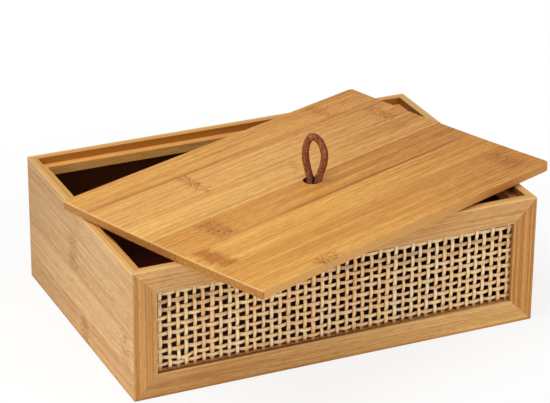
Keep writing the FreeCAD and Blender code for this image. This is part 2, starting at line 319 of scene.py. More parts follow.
def strand_skins(name, along, sideways, lie, wave, half_width, upright, tint):
    """Flat sections carried along each strand: a superellipse of its width and thickness, fuller in front.

    Rows of the arrays are strands and columns are places along them. A strand's depth is the weave's wave,
    lie, from 1 in front to -1 behind. The uv is the length run, and the strand's number plus the place
    across it."""
    strands, samples = sideways.shape
    angle = np.linspace(0, 2 * math.pi, CANE_SIDES, endpoint=False)
    across = np.sign(np.cos(angle)) * np.abs(np.cos(angle)) ** 0.45
    through = np.sign(np.sin(angle)) * np.abs(np.sin(angle)) ** 0.9
    side = sideways[..., None] + half_width[..., None] * across
    front = CANE_MIDDLE - (wave * lie)[..., None] + CANE_THICKNESS / 2 * through
    run = np.broadcast_to(along[..., None], side.shape)
    order = (side, front, run) if upright else (run, front, side)
    points = np.stack(order, -1).reshape(-1, 3) * MM
    ring = np.arange(CANE_SIDES)
    skin = skin_faces(samples, CANE_SIDES)
    caps = np.stack([ring[::-1], (samples - 1) * CANE_SIDES + ring])
    if not upright:
        skin = skin[:, ::-1]
        caps = caps[:, ::-1]
    starts = np.arange(strands)[:, None, None] * samples * CANE_SIDES
    faces = [(skin + starts).reshape(-1, 4), (caps + starts).reshape(-1, CANE_SIDES)]
    number = np.arange(strands)[:, None, None] + 0.25 * (across + 2)
    uv = np.stack(np.broadcast_arrays(run, number), -1).reshape(-1, 2)
    values = {
        "tint": np.broadcast_to(tint[:, None, None], side.shape).ravel(),
        "lie": np.broadcast_to(lie[..., None], side.shape).ravel(),
    }
    return mesh_piece(name, points, faces, uv, values)


def make_cane():
    """Uprights and rows that pass in front of and behind each other in turn.

    A strand's lie alternates in sign from strand to strand. Its sideways place is its even spacing, a
    random offset, a slow drift and any listed sag."""
    random = np.random.default_rng(11)
    samples = UPRIGHT_SAMPLES
    numbers = np.arange(UPRIGHT_COUNT)
    height = np.broadcast_to(np.linspace(CANE_LOW, CANE_HIGH, samples), (UPRIGHT_COUNT, samples))
    place = UPRIGHT_FIRST + UPRIGHT_PITCH * numbers + random.normal(0, 0.26, UPRIGHT_COUNT)
    place = place[:, None] + drift(random, UPRIGHT_COUNT, samples, CANE_HIGH - CANE_LOW, 0.30)
    lie = np.where(numbers % 2 == 0, 1, -1)[:, None] * woven((ROW_FIRST - height) / ROW_PITCH)
    breadth = CANE_HALF_WIDTH * (1 + random.normal(0, 0.06, (UPRIGHT_COUNT, 1)))
    breadth = breadth + drift(random, UPRIGHT_COUNT, samples, CANE_HIGH - CANE_LOW, 0.06)
    # The first upright is broad and lies against the frame
    breadth[0] = breadth[0] + 0.25
    place[0] = UPRIGHT_FIRST - 0.3
    # Painted light: the webbing's tint is a little paler towards its right end, where more light falls
    tint = random.uniform(0, 0.72, UPRIGHT_COUNT) - 0.2 * numbers / UPRIGHT_COUNT
    uprights = strand_skins(
        "cane_uprights", height, place, lie, wave_size(place, height), breadth, True, tint)
    samples = ROW_SAMPLES
    count = len(ROW_NUMBERS)
    length = np.broadcast_to(np.linspace(-CANE_REACH, CANE_REACH, samples), (count, samples))
    place = ROW_FIRST - ROW_PITCH * ROW_NUMBERS + random.normal(0, 0.18, count)
    place = place[:, None] + drift(random, count, samples, 2 * CANE_REACH, 0.30)
    for row, at, by, over in ROW_SAGS:
        place = place + np.where(ROW_NUMBERS == row, by, 0)[:, None] * np.exp(-((length - at) / over) ** 2)
    lie = np.where(ROW_NUMBERS % 2 == 0, -1, 1)[:, None] * woven((length - UPRIGHT_FIRST) / UPRIGHT_PITCH)
    breadth = CANE_HALF_WIDTH * (1 + random.normal(0, 0.06, (count, 1)))
    breadth = breadth + drift(random, count, samples, 2 * CANE_REACH, 0.08)
    tint = random.uniform(0.2, 0.8, count)
    tint[2] = 0.86
    rows = strand_skins("cane_rows", length, place, lie, wave_size(length, place), breadth, False, tint)
    return uprights, rows


cane_pieces = make_cane()
for cane_piece in cane_pieces:
    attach(cane_piece, "box")
    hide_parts("cane_webbing")

# Bamboo boards: edge-glued strips under satin lacquer. Along, across and through a board are in millimetres.

# The box's half sizes, height and wall, in millimetres, then the middle of its front's foot in metres
HALF_WIDTH = 135.0
HALF_DEPTH = 92.5
BOX_HEIGHT = 85.0
WALL_THICKNESS = 5.5
BATTEN_FOOT = 74.0
FRONT_PLACE = (0, -HALF_DEPTH * MM, 0)
# Turns that lay a board's length along an axis
ALONG_X_FLAT = (0, 0, 0)
ALONG_Y_FLAT = (0, 0, 90)
ALONG_X_UPRIGHT = (90, 0, 0)
ALONG_Y_UPRIGHT = (90, 0, 90)
ALONG_Z_FRONT = (-90, -90, 0)
BLACK = (0.0, 0.0, 0.0, 1.0)
WHITE = (1.0, 1.0, 1.0, 1.0)
FIBRE_SHADE = linear("#D1AE70")
GLUE_SHADE = linear("#C9A064")
KNUCKLE_BROWN = linear("#8F4F08")
KNUCKLE_STAIN = linear("#DCBE8C")
JOINT_BROWN = linear("#6A4018")
# Tone of the painted highlight along arrises
ARRIS_HIGHLIGHT_TONE = linear("#F6D9A4")
# Where a knuckle's scribble, stain and swirl are full and where they are gone, in its half lengths
KNUCKLE_FADES = ((0.5, 1.05), (0.2, 1.5), (0.3, 2.8))
SCRIBBLE_LENGTH = 4.6
SCRIBBLE_WIDTH = 2.2
# How far seeds of 0 and 1 lie apart along the fibres, and how fibres waver
SEED_SHIFT = 900.0
WAVER_LENGTH = 110
WAVER_WIDTH = 24
WAVER_REACH = 2.0
# Fibre layers as (length, width, noise where it starts, noise where it is full, strength): broad bands of
# the culm, its fibres at three widths, two kinds of short fleck and a few dark bundles. Real fibres are finer
# than can show here.
FIBRE_LAYERS = (
    (300.0, 9.0, 0.40, 0.75, 0.25), (200.0, 2.4, 0.42, 0.72, 0.30), (150.0, 1.0, 0.45, 0.72, 0.40),
    (13.0, 1.2, 0.45, 0.72, 0.34), (5.0, 0.8, 0.48, 0.72, 0.34), (260.0, 0.9, 0.63, 0.69, 0.55),
    (45.0, 0.45, 0.42, 0.72, 0.40),
)


def away_from(tree, board, along, across, half_length, half_width):
    """How far a place is from a mark's middle along and across the board, in the mark's half sizes."""
    away = add(tree, "VectorMath", {0: board, 1: (along, across, 0)}, operation="SUBTRACT")
    away = add(tree, "VectorMath", {0: away, 1: (1 / half_length, 1 / half_width, 0)}, operation="MULTIPLY")
    away = add(tree, "VectorMath", {0: away}, operation="ABSOLUTE")
    return add(tree, "SeparateXYZ", {0: away}).node.outputs


def knuckle_fields(tree, board, knuckles):
    """Three fields that fade from a knuckle's middle along its strip: scribble, stain and swirl."""
    ragged = add(tree, "TexNoise", {"Vector": board, "Scale": 1 / 6.0, "Detail": 2.0}, 1)
    ragged = add(tree, "VectorMath", {0: ragged, 1: (0.5, 0.5, 0.5)}, operation="SUBTRACT")
    ragged = add(tree, "VectorMath", {0: ragged, 1: (11.0, 3.0, 0.0)}, operation="MULTIPLY")
    board = add(tree, "VectorMath", {0: board, 1: ragged}, operation="ADD")
    fields = [0.0, 0.0, 0.0]
    for along, across, half_length, half_width, scribble, stain in knuckles:
        sides = away_from(tree, board, along, across, half_length, half_width)
        inside = add(tree, "MapRange", {0: sides[1], 1: 0.86, 2: 1.02, 3: 1.0, 4: 0.0})
        for i, ((full, gone), strength) in enumerate(zip(KNUCKLE_FADES, (scribble, stain, 1.0))):
            near = add(tree, "MapRange", {0: sides[0], 1: full, 2: gone, 3: strength, 4: 0.0},
                       interpolation_type="SMOOTHSTEP")
            near = add(tree, "Math", {0: near, 1: inside}, operation="MULTIPLY")
            fields[i] = add(tree, "Math", {0: fields[i], 1: near}, operation="MAXIMUM")
    return fields


def make_bamboo(name, turn, place, strips, end, knuckles=(), fibre=1.0, joints=(), edges=None, painted_shade_fade=None,
                blend="CONSTANT", veins=(), lined=1.0):
    """Lacquered bamboo: golden strips of differing tone, darker fibre lines, brown scribbled knuckles.

    Strips are (start across, tone, seed of its fibres, glue line at its start), and blend says how a strip
    meets the next. Painted shade along the length is a tone at each of two places along the board, darkening
    it towards one end. Joints are planes of the board, as a normal and an offset, drawn as faint lines. Edges
    is a function that recolours the board's edges.
    Veins are single long dark lines, as (start along, end along, across, half width, strength). Lined is
    how much stronger the fibres are at the board's far end."""
    material, tree = new_material(name)
    metres = add(tree, "TexCoord", output="Object")
    board = add(tree, "Mapping", {
        "Vector": metres, "Location": place, "Rotation": [math.radians(angle) for angle in turn],
        "Scale": (MM, MM, MM)}, vector_type="TEXTURE")
    split = add(tree, "SeparateXYZ", {0: board}).node.outputs
    start = strips[0][0]
    share = add(tree, "MapRange", {0: split[1], 1: start, 2: end})
    stops = [((low - start) / (end - start), (*linear(tone)[:3], seed)) for low, tone, seed, _ in strips]
    colour = add(tree, "ValToRGB", {0: share}, stops=stops)
    colour.node.color_ramp.interpolation = blend
    seed = colour.node.outputs[1]
    # Painted shade along the board's length, darker towards one end.
    if painted_shade_fade:
        (low, low_tone), (high, high_tone) = painted_shade_fade
        length = add(tree, "MapRange", {0: split[0], 1: low, 2: high})
        tone = add(tree, "MixRGB", {0: length, 1: linear(low_tone), 2: linear(high_tone)})
        colour = add(tree, "MixRGB", {0: 1.0, 1: colour, 2: tone}, blend_type="MULTIPLY")

    # Each strip has its own stretch of fibre, which wavers a little and swirls at the knuckles
    shift = add(tree, "Math", {0: seed, 1: SEED_SHIFT}, operation="MULTIPLY")
    shift = add(tree, "CombineXYZ", {0: shift})
    fibres = add(tree, "VectorMath", {0: board, 1: shift}, operation="ADD")
    scale = (1 / WAVER_LENGTH, 1 / WAVER_WIDTH, 1 / WAVER_WIDTH)
    waver = add(tree, "VectorMath", {0: fibres, 1: scale}, operation="MULTIPLY")
    waver = add(tree, "TexNoise", {"Vector": waver, "Scale": 1.0, "Detail": 1.0})
    waver = add(tree, "MapRange", {0: waver, 3: -WAVER_REACH, 4: WAVER_REACH})
    waver = add(tree, "CombineXYZ", {1: waver})
    fibres = add(tree, "VectorMath", {0: fibres, 1: waver}, operation="ADD")
    if knuckles:
        scribble, stain, swirl = knuckle_fields(tree, board, knuckles)
        crook = add(tree, "TexNoise", {"Vector": fibres, "Scale": 1 / 9.0, "Detail": 1.0}, 1)
        crook = add(tree, "VectorMath", {0: crook, 1: (0.5, 0.5, 0.5)}, operation="SUBTRACT")
        crook = add(tree, "VectorMath", {0: crook, 1: (0.0, 8.0, 0.0)}, operation="MULTIPLY")
        crook = add(tree, "VectorMath", {0: crook, "Scale": swirl}, operation="SCALE")
        fibres = add(tree, "VectorMath", {0: fibres, 1: crook}, operation="ADD")
    height = 0.0
    stronger = add(tree, "MapRange", {0: split[0], 1: 0.0, 2: 125.0, 3: fibre, 4: fibre * lined})
    for length, width, low, high, strength in FIBRE_LAYERS:
        scale = (1 / length, 1 / width, 1 / width)
        drawn = add(tree, "VectorMath", {0: fibres, 1: scale}, operation="MULTIPLY")
        line = add(tree, "TexNoise", {"Vector": drawn, "Scale": 1.0, "Detail": 1.0, "Roughness": 0.5})
        height = add(tree, "Math", {0: height, 1: line}, operation="ADD")
        full = add(tree, "Math", {0: stronger, 1: strength}, operation="MULTIPLY")
        shade = add(tree, "MapRange", {0: line, 1: low, 2: high, 3: 0.0, 4: full})
        colour = add(tree, "MixRGB", {0: shade, 1: colour, 2: FIBRE_SHADE}, blend_type="MULTIPLY")
    rough = add(tree, "MapRange", {0: line, 1: 0.3, 2: 0.7, 3: 0.44, 4: 0.56})

    wavered = add(tree, "VectorMath", {0: board, 1: waver}, operation="ADD") if veins else None
    for low, high, across, half_width, strength in veins:
        sides = away_from(tree, wavered, (low + high) / 2, across, (high - low) / 2, half_width)
        near = add(tree, "MapRange", {0: sides[0], 1: 0.55, 2: 1.0, 3: strength, 4: 0.0},
                   interpolation_type="SMOOTHSTEP")
        vein = add(tree, "MapRange", {0: sides[1], 1: 0.1, 2: 1.0, 3: near, 4: 0.0})
        colour = add(tree, "MixRGB", {0: vein, 1: colour, 2: GLUE_SHADE}, blend_type="MULTIPLY")

    # Glue lines between strips, soft on their upper side, which come and go along the board
    stops = [(0.0, BLACK)]
    for low, _, _, glue in strips[1:]:
        if glue:
            stops += [((low + side - start) / (end - start), (level, level, level, 1.0)) for side, level in
                      ((-0.6, 0.0), (0.0, glue), (0.6, 0.5 * glue), (2.4, 0.0))]
    if len(stops) > 1:
        glue = add(tree, "ValToRGB", {0: share}, stops=stops)
        comes = add(tree, "TexNoise", {"Vector": fibres, "Scale": 1 / 45.0, "Detail": 1.0})
        comes = add(tree, "MapRange", {0: comes, 1: 0.35, 2: 0.65, 3: 0.35, 4: 1.0})
        glue = add(tree, "Math", {0: glue, 1: comes}, operation="MULTIPLY")
        colour = add(tree, "MixRGB", {0: glue, 1: colour, 2: GLUE_SHADE}, blend_type="MULTIPLY")

    if knuckles:
        colour = add(tree, "MixRGB", {0: stain, 1: colour, 2: KNUCKLE_STAIN}, blend_type="MULTIPLY")
        scale = (1 / SCRIBBLE_LENGTH, 1 / SCRIBBLE_WIDTH, 1 / SCRIBBLE_WIDTH)
        crooked = add(tree, "VectorMath", {0: fibres, 1: scale}, operation="MULTIPLY")
        crooked = add(tree, "TexNoise", {"Vector": crooked, "Scale": 1.0, "Detail": 1.5, "Distortion": 1.1})
        away = add(tree, "Math", {0: crooked, 1: 0.5}, operation="SUBTRACT")
        away = add(tree, "Math", {0: away}, operation="ABSOLUTE")
        mark = add(tree, "MapRange", {0: away, 1: 0.016, 2: 0.05, 3: 0.95, 4: 0.0},
                   interpolation_type="SMOOTHSTEP")
        mark = add(tree, "Math", {0: mark, 1: scribble}, operation="MULTIPLY")
        colour = add(tree, "MixRGB", {0: mark, 1: colour, 2: KNUCKLE_BROWN})
        height = add(tree, "Math", {0: height, 1: mark}, operation="SUBTRACT")

    if edges:
        colour = edges(tree, board, split, colour)
    for normal, offset in joints:
        unit = np.array(normal) / np.linalg.norm(normal)
        away = add(tree, "VectorMath", {0: board, 1: unit.tolist()}, "Value", operation="DOT_PRODUCT")
        away = add(tree, "Math", {0: away, 1: offset / np.linalg.norm(normal)}, operation="SUBTRACT")
        away = add(tree, "Math", {0: away}, operation="ABSOLUTE")
        line = add(tree, "MapRange", {0: away, 1: 0.05, 2: 0.3, 3: 0.14, 4: 0.0})
        colour = add(tree, "MixRGB", {0: line, 1: colour, 2: JOINT_BROWN})

    bump = add(tree, "Bump", {"Strength": 0.25, "Distance": 0.08 * MM, "Height": height})
    shader = add(tree, "BsdfPrincipled", {
        "Base Color": colour, "Roughness": rough, "IOR": 1.45, "Specular IOR Level": 0.2, "Normal": bump})
    add(tree, "OutputMaterial", {"Surface": shader})
    return material


LID_HALF_LENGTH = 129.0
LID_HALF_DEPTH = 86.0
LID_THICKNESS = 6.0
LID_CUP = 1.2
HOLE_ALONG = 2.8
HOLE_ACROSS = 1.6
HOLE_RADIUS = 5.75


def lid_edges(tree, board, split, colour):
    """The lid's sawn edges: duller sides with painted shade towards the right, brown end grain at the ends,
    a painted arris highlight above.

    Heights are taken from the underside, which rises with the cup. The pull's drilled hole is darkened with
    painted shade."""
    bend = add(tree, "Math", {0: split[1], 1: split[1]}, operation="MULTIPLY")
    level = add(tree, "Math", {0: bend, 1: -LID_CUP / LID_HALF_DEPTH ** 2, 2: split[2]},
                operation="MULTIPLY_ADD")
    below = add(tree, "MapRange", {0: level, 1: 5.0, 2: 5.7, 3: 0.85, 4: 0.0})
    above = add(tree, "MapRange", {0: level, 1: 0.3, 2: 0.6})
    edge = add(tree, "Math", {0: below, 1: above}, operation="MULTIPLY")
    reach = add(tree, "Math", {0: split[0]}, operation="ABSOLUTE")
    # Painted highlight along the lid's upper arris, stronger at its ends.
    arris = add(tree, "ValToRGB", {0: add(tree, "MapRange", {0: level, 1: 4.8, 2: LID_THICKNESS})}, stops=(
        (0.0, BLACK), (0.35, WHITE), (0.85, WHITE), (0.98, BLACK)))
    painted_highlight = add(tree, "MapRange", {
        0: reach, 1: LID_HALF_LENGTH - 2.5, 2: LID_HALF_LENGTH - 0.6, 3: 0.1, 4: 0.45})
    arris = add(tree, "Math", {0: arris, 1: painted_highlight}, operation="MULTIPLY")
    colour = add(tree, "MixRGB", {0: arris, 1: colour, 2: ARRIS_HIGHLIGHT_TONE})
    # Painted shade: the sides' tone darkens towards the lid's right end.
    length = add(tree, "MapRange", {0: split[0], 1: -LID_HALF_LENGTH, 2: LID_HALF_LENGTH})
    tone = add(tree, "ValToRGB", {0: length}, stops=(
        (0.0, linear("#DFA663")), (0.62, linear("#D59C58")), (0.82, linear("#BE7D35")),
        (0.95, linear("#C58C48"))))
    side = add(tree, "MixRGB", {0: edge, 1: colour, 2: tone})
    at_end = add(tree, "MapRange", {0: reach, 1: LID_HALF_LENGTH - 1.4, 2: LID_HALF_LENGTH - 0.6})
    sawn = add(tree, "MapRange", {0: level, 1: 4.7, 2: 5.3, 3: 1.0, 4: 0.0})
    at_end = add(tree, "Math", {0: at_end, 1: sawn}, operation="MULTIPLY")
    place = add(tree, "CombineXYZ", {1: split[1], 2: split[2]})
    pores = add(tree, "TexNoise", {"Vector": place, "Scale": 1 / 1.6, "Detail": 2.0, "Roughness": 0.6})
    grain = add(tree, "ValToRGB", {0: pores}, stops=(
        (0.3, linear("#A56A2B")), (0.5, linear("#B77C3B")), (0.7, linear("#C8914E"))))
    colour = add(tree, "MixRGB", {0: at_end, 1: side, 2: grain})
    # Painted shade in the pull's drilled hole.
    flat = add(tree, "VectorMath", {0: board, 1: (1, 1, 0)}, operation="MULTIPLY")
    away = add(tree, "VectorMath", {0: flat, 1: (HOLE_ALONG, HOLE_ACROSS, 0)}, "Value", operation="DISTANCE")
    painted_hole_shade = add(tree, "MapRange", {0: away, 1: HOLE_RADIUS + 0.05, 2: HOLE_RADIUS + 0.4, 3: 0.9, 4: 0.0})
    return add(tree, "MixRGB", {0: painted_hole_shade, 1: colour, 2: linear("#5A3413")})


# Strips as (start across, tone, seed, glue line), and knuckles as (along, across, half length, half width,
# scribble, stain)
LID_STRIPS = (
    (-86.0, "#EDB65C", 0.11, 0), (-78.5, "#EBB157", 0.37, 0.5), (-49.8, "#F0B95E", 0.53, 0.35),
    (-21.4, "#E7AC54", 0.72, 0.8), (6.0, "#F5C371", 0.29, 0.8), (34.2, "#F2BE6F", 0.91, 0.4),
    (61.4, "#EDB662", 0.64, 0.9),
)
LID_KNUCKLES = (
    (-54.1, 48.2, 5.5, 14.0, 1.0, 0.2), (-88.6, -6.8, 9.5, 13.5, 0.85, 0.35),
    (-117.3, -34.8, 7.5, 13.5, 0.7, 0.95), (12.6, 26.3, 6.0, 8.0, 0.4, 0.1),
    (85.0, 71.5, 6.0, 11.0, 0.6, 0.2), (112.5, 45.2, 6.0, 13.5, 0.75, 0.25),
    (111.6, -63.9, 9.0, 13.5, 0.9, 0.35), (-71.9, -82.7, 12.5, 5.0, 1.0, 0.2),
)
# Veins as (start along, end along, across, half width, strength)
LID_VEINS = (
    (-50.0, 80.0, -8.7, 1.0, 0.6), (-75.0, 140.0, -19.2, 1.5, 0.8), (-30.0, 110.0, -27.3, 0.9, 0.5),
    (10.0, 140.0, 5.4, 1.5, 0.4), (-140.0, 10.0, 62.9, 1.1, 0.5), (-110.0, 20.0, -65.2, 2.6, 0.4),
)
# The lid darkens with painted shade towards its right end.
lid_bamboo = make_bamboo(
    "lacquered_bamboo_lid", (0, 0, LID_TURN), LID_PLACE, LID_STRIPS, LID_HALF_DEPTH, LID_KNUCKLES,
    edges=lid_edges, painted_shade_fade=((-20.0, "#FFFFFF"), (128.0, "#F4EEEC")), veins=LID_VEINS, lined=1.5)


def wall_edges(tone, line, inner="#AB6718"):
    """A wall's upper edge in its own tone, with a brown line along it and a painted highlight on its outer
    arris.

    It is darker along its foot. The inside is browner with painted shade, and below the battens painted shade
    makes it dark."""
    def recolour(tree, board, split, colour):
        on_rim = add(tree, "MapRange", {0: split[1], 1: BOX_HEIGHT - 0.8, 2: BOX_HEIGHT - 0.3})
        inwards = add(tree, "Math", {0: split[2]}, operation="ABSOLUTE")
        rim = add(tree, "MixRGB", {0: 0.75, 1: colour, 2: linear(tone)})
        across = add(tree, "MapRange", {0: inwards, 1: 0.0, 2: WALL_THICKNESS})
        brown = add(tree, "ValToRGB", {0: across}, stops=(
            (0.0, BLACK), (0.52, BLACK), (0.66, WHITE), (0.75, WHITE), (0.86, BLACK)))
        brown = add(tree, "Math", {0: brown, 1: line}, operation="MULTIPLY")
        rim = add(tree, "MixRGB", {0: brown, 1: rim, 2: linear("#9C642C")})
        # Painted highlight along the wall's outer arris.
        painted_highlight = add(tree, "MapRange", {0: inwards, 1: 0.2, 2: 0.6, 3: 0.4, 4: 0.0})
        rim = add(tree, "MixRGB", {0: painted_highlight, 1: rim, 2: ARRIS_HIGHLIGHT_TONE})
        colour = add(tree, "MixRGB", {0: on_rim, 1: colour, 2: rim})
        # Darker along the foot.
        foot = add(tree, "MapRange", {0: split[1], 1: 0.4, 2: 2.2, 3: 0.9, 4: 0.0})
        colour = add(tree, "MixRGB", {0: foot, 1: colour, 2: FIBRE_SHADE}, blend_type="MULTIPLY")
        # Painted shade: the inner face is browned.
        inside = add(tree, "MapRange", {0: inwards, 1: WALL_THICKNESS - 0.3, 2: WALL_THICKNESS - 0.1})
        brown = add(tree, "Math", {0: inside, 1: 0.9}, operation="MULTIPLY")
        colour = add(tree, "MixRGB", {0: brown, 1: colour, 2: linear(inner)})
        # Painted shade: below the battens the inner face is made near black.
        below = add(tree, "MapRange", {0: split[1], 1: BATTEN_FOOT, 2: BATTEN_FOOT + 2, 3: 0.94, 4: 0.0})
        inside = add(tree, "Math", {0: inside, 1: below}, operation="MULTIPLY")
        return add(tree, "MixRGB", {0: inside, 1: colour, 2: linear("#3C1405")})
    return recolour


def frame_lip(tree, split, colour, to_opening, shade):
    """The frame round its opening: a painted arris highlight in front, and inner faces darkened inwards with
    painted shade.
    """
    inwards = add(tree, "Math", {0: split[2]}, operation="ABSOLUTE")
    # Painted highlight along the arris in front of the opening.
    in_front = add(tree, "MapRange", {0: inwards, 1: 0.5, 2: 0.9, 3: 0.22, 4: 0.0})
    painted_highlight = add(tree, "MapRange", {0: to_opening, 1: 0.35, 2: 0.9, 3: in_front, 4: 0.0})
    colour = add(tree, "MixRGB", {0: painted_highlight, 1: colour, 2: linear("#F8D8A0")})
    # Painted shade on the lip's inner faces, deeper inwards.
    deep = add(tree, "MapRange", {0: inwards, 1: 0.5, 2: 2.3, 3: 0.0, 4: 0.88})
    faced = add(tree, "MapRange", {0: to_opening, 1: 0.1, 2: 0.25, 3: deep, 4: 0.0})
    return add(tree, "MixRGB", {0: faced, 1: colour, 2: shade})


def top_rail_edges(tree, board, split, colour):
    """The rim above and the frame's opening below."""
    colour = wall_edges("#E0AD68", 0.45)(tree, board, split, colour)
    opening_top = OPENING_MIDDLE + OPENING_HALF_HEIGHT
    to_opening = add(tree, "Math", {0: split[1], 1: opening_top}, operation="SUBTRACT")
    # Painted shade colour for the top lip's inner faces.
    return frame_lip(tree, split, colour, to_opening, linear("#7A4A22"))


def bottom_rail_edges(tree, board, split, colour):
    """The darker foot below and the frame's opening above, whose lip has painted shade that is lighter
    towards its right end.
    """
    colour = wall_edges("#E0AD68", 0.0)(tree, board, split, colour)
    opening_foot = OPENING_MIDDLE - OPENING_HALF_HEIGHT
    to_opening = add(tree, "Math", {0: opening_foot, 1: split[1]}, operation="SUBTRACT")
    # Painted shade on the lower lip, lighter towards its right end where more light falls.
    painted_light_share = add(tree, "MapRange", {0: split[0], 1: -10.0, 2: 90.0})
    shade = add(tree, "MixRGB", {0: painted_light_share, 1: linear("#4E2703"), 2: linear("#C4914F")})
    return frame_lip(tree, split, colour, to_opening, shade)


def stile_edges(tree, board, split, colour):
    """The frame's opening between the stiles."""
    reach = add(tree, "Math", {0: split[1]}, operation="ABSOLUTE")
    to_opening = add(tree, "Math", {0: reach, 1: OPENING_HALF_WIDTH}, operation="SUBTRACT")
    # Painted shade colour for the stiles' inner faces.
    return frame_lip(tree, split, colour, to_opening, linear("#A86E36"))


WALL_STRIPS = (
    (0.0, "#E9BD81", 0.15, 0), (17.0, "#F0C990", 0.83, 0.5), (42.0, "#E8C18A", 0.42, 0.5),
    (67.0, "#E9C28E", 0.67, 0.5),
)
LEFT_KNUCKLES = (
    (9.0, 54.5, 8.5, 12.5, 0.75, 0.2), (-9.0, 8.5, 7.5, 8.5, 0.75, 0.2), (-79.0, 29.0, 8.5, 12.0, 0.6, 0.05))
RIGHT_KNUCKLES = (
    (-38.0, 54.5, 8.5, 12.5, 0.6, 0.2), (52.0, 29.0, 7.5, 12.0, 0.6, 0.2), (-71.0, 8.5, 7.5, 8.5, 0.6, 0.15))
BACK_KNUCKLES = (
    (-64.0, 54.5, 8.5, 12.5, 0.6, 0.2), (88.0, 29.0, 7.5, 12.0, 0.6, 0.2), (20.0, 75.0, 7.5, 7.5, 0.55, 0.15))
# Joints: the walls meet the front frame on the slant from corner to corner, the frame's strips at 45 degrees
# The left wall darkens with painted shade towards its back end.
left_bamboo = make_bamboo(
    "lacquered_bamboo_left_wall", ALONG_Y_UPRIGHT, (-HALF_WIDTH * MM, 0, 0), WALL_STRIPS, BOX_HEIGHT,
    LEFT_KNUCKLES, joints=(((-5.5, 0, 6.5), 508.75), ((1, 0, 1), HALF_DEPTH)),
    edges=wall_edges("#DCA552", 0.6), painted_shade_fade=((-20.0, "#FFFFFF"), (HALF_DEPTH, "#E8E3DA")))
# The right wall's inside takes a darker painted shade.
right_bamboo = make_bamboo(
    "lacquered_bamboo_right_wall", ALONG_Y_UPRIGHT, (HALF_WIDTH * MM, 0, 0), WALL_STRIPS, BOX_HEIGHT,
    RIGHT_KNUCKLES, joints=(((5.5, 0, 6.5), -508.75), ((1, 0, -1), HALF_DEPTH)),
    edges=wall_edges("#D9A660", 0.2, "#7E4912"))
back_bamboo = make_bamboo(
    "lacquered_bamboo_back_wall", ALONG_X_UPRIGHT, (0, HALF_DEPTH * MM, 0), WALL_STRIPS, BOX_HEIGHT,
    BACK_KNUCKLES, joints=(((1, 0, -1), -HALF_WIDTH), ((1, 0, 1), HALF_WIDTH)),
    edges=wall_edges("#E2AA58", 0.6))

TOP_RAIL_STRIPS = ((60.0, "#EABE84", 0.77, 0), (77.0, "#EBBD82", 0.05, 0.4))
# The top rail darkens slightly with painted shade towards its right end.
top_rail_bamboo = make_bamboo(
    "lacquered_bamboo_top_rail", ALONG_X_UPRIGHT, FRONT_PLACE, TOP_RAIL_STRIPS, BOX_HEIGHT,
    joints=(((1, 1, 0), -50), ((1, -1, 0), 50), ((6.5, 0, 5.5), -877.5), ((6.5, 0, -5.5), 877.5)),
    edges=top_rail_edges, painted_shade_fade=((-120.0, "#FFFFFF"), (120.0, "#FAF6F1")))
BOTTOM_RAIL_STRIPS = ((0.0, "#F1C682", 0.21, 0), (9.0, "#F6CD8C", 0.47, 0.4))
# The bottom rail darkens with painted shade towards its left end.
bottom_rail_bamboo = make_bamboo(
    "lacquered_bamboo_bottom_rail", ALONG_X_UPRIGHT, FRONT_PLACE, BOTTOM_RAIL_STRIPS, 16.0,
    joints=(((1, -1, 0), -HALF_WIDTH), ((1, 1, 0), HALF_WIDTH)), edges=bottom_rail_edges,
    painted_shade_fade=((-80.0, "#DCCFC6"), (75.0, "#FFFFFF")))
# Radial cut: lines and bands as (start across, tone), each stile with its own seed
LEFT_STILE_BANDS = (
    (-135.0, "#ECBC83"), (-134.3, "#D7A364"), (-133.7, "#CB9759"), (-132.0, "#C99356"), (-130.9, "#E1AE6F"),
    (-129.6, "#D7A364"), (-127.8, "#E1AE6F"), (-126.5, "#CB9759"), (-125.1, "#E1AE6F"), (-124.0, "#D7A364"),
    (-122.4, "#D39F60"), (-121.0, "#E1AE6F"), (-119.5, "#DDA96C"),
)
RIGHT_STILE_BANDS = (
    (119.5, "#D79F5D"), (120.1, "#E3AA68"), (121.3, "#C18543"), (122.6, "#D79F5D"), (123.7, "#E3AA68"),
    (124.7, "#BF8241"), (126.2, "#C18543"), (127.4, "#E3AA68"), (128.5, "#D79F5D"), (129.4, "#E3AA68"),
    (130.7, "#C18543"), (131.8, "#E3AA68"), (132.7, "#BF8241"), (134.0, "#D79F5D"),
)
STILE_STRIPS = [
    (low, tone, seed, 0) for bands, seed in ((LEFT_STILE_BANDS, 0.33), (RIGHT_STILE_BANDS, 0.58))
    for low, tone in bands]
stile_bamboo = make_bamboo(
    "lacquered_bamboo_stiles", ALONG_Z_FRONT, FRONT_PLACE, STILE_STRIPS, HALF_WIDTH, fibre=0.8,
    joints=(((1, 1, 0), -50), ((-1, 1, 0), -HALF_WIDTH), ((-1, 1, 0), 50), ((1, 1, 0), HALF_WIDTH)),
    edges=stile_edges, blend="LINEAR")
# Painted shade: the bottom panel is near black red-brown, standing in for the shade inside the closed box.
BOTTOM_SHADE_STRIPS = (
    (-90.0, "#431205", 0.19, 0), (-60.0, "#3C1004", 0.44, 0.5), (-30.0, "#461405", 0.62, 0.5),
    (0.0, "#3F1105", 0.88, 0.5), (30.0, "#421205", 0.31, 0.5), (60.0, "#3A0F04", 0.73, 0.5),
)
painted_shade_bottom = make_bamboo("bamboo_bottom_painted_shade", ALONG_X_FLAT, (0, 0, 0), BOTTOM_SHADE_STRIPS, 90.0)
BEAD_STRIPS = ((-140.0, "#F2B76C", 0.19, 0), (0.0, "#EFB366", 0.44, 0))
bead_bamboo_across, bead_bamboo_deep, bead_bamboo_upright = [
    make_bamboo("sanded_bamboo_" + way, turn, (0, 0, 0), BEAD_STRIPS, 140.0, fibre=0.8)
    for way, turn in (("across", ALONG_X_FLAT), ("deep", ALONG_Y_FLAT), ("upright", ALONG_Z_FRONT))]


